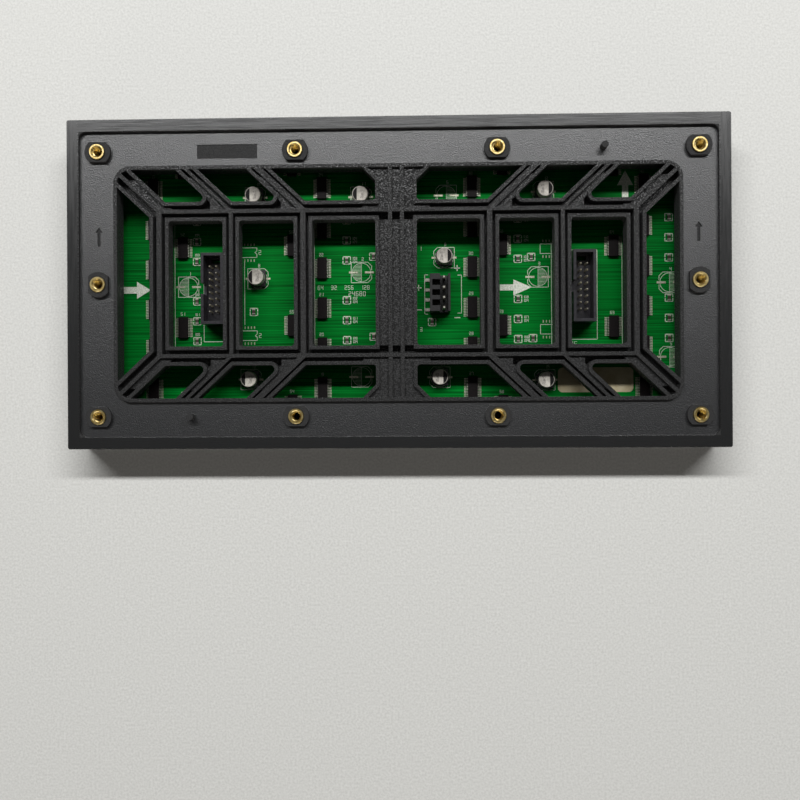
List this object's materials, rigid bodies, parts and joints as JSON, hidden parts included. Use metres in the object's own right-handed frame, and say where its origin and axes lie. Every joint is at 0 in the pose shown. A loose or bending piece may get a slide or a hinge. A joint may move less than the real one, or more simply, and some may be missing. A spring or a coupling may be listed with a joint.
{
  "type": "led dot matrix module",
  "caption": "Outdoor LED dot matrix module with a louvred front mask, a ribbed rear case with windows over its driver board, signal and power headers, and threaded inserts.",
  "frame": {"origin": "centre of the module in the plane of the louvre tips, on which it lies", "axes": "+X along the pixel columns' count, the long way; +Y up the pixel rows; +Z out of the back"},
  "size_m": [0.256, 0.128, 0.0207],
  "materials": {
    "case": "fine moulded grain",
    "insert": "turned, dull",
    "mask": "matt, non-reflecting",
    "led": "clear moulded lens on a white body",
    "potting": "cured silicone",
    "board": "green solder mask with white print",
    "screw": "zinc plated",
    "chip": "moulded epoxy",
    "lead": "tinned",
    "can": "drawn can, printed half",
    "can_base": "moulded",
    "shroud": "moulded",
    "pin": "gold flash",
    "power_body": "moulded",
    "power_pin": "tinned",
    "small_part": "plain, with tinned ends",
    "label": "blank"
  },
  "bodies": {
    "root": {"rear_case": "case", "threaded_inserts": "insert", "louvred_mask": "mask", "led_rows": "led", "potting_layer": "potting", "driver_board": "board", "board_screws": "screw", "outer_driver_chips": "chip", "inner_driver_chips": "chip", "chip_leads": "lead", "capacitor_cans": "can", "capacitor_bases": "can_base", "input_header_shroud": "shroud", "input_header_pins": "pin", "output_header_shroud": "shroud", "output_header_pins": "pin", "power_header_body": "power_body", "power_header_pins": "power_pin", "small_chip_parts": "small_part", "blank_label": "label", "line_decoder": "chip", "signal_buffers": "chip", "row_switches": "chip"}
  },
  "joints": []
}
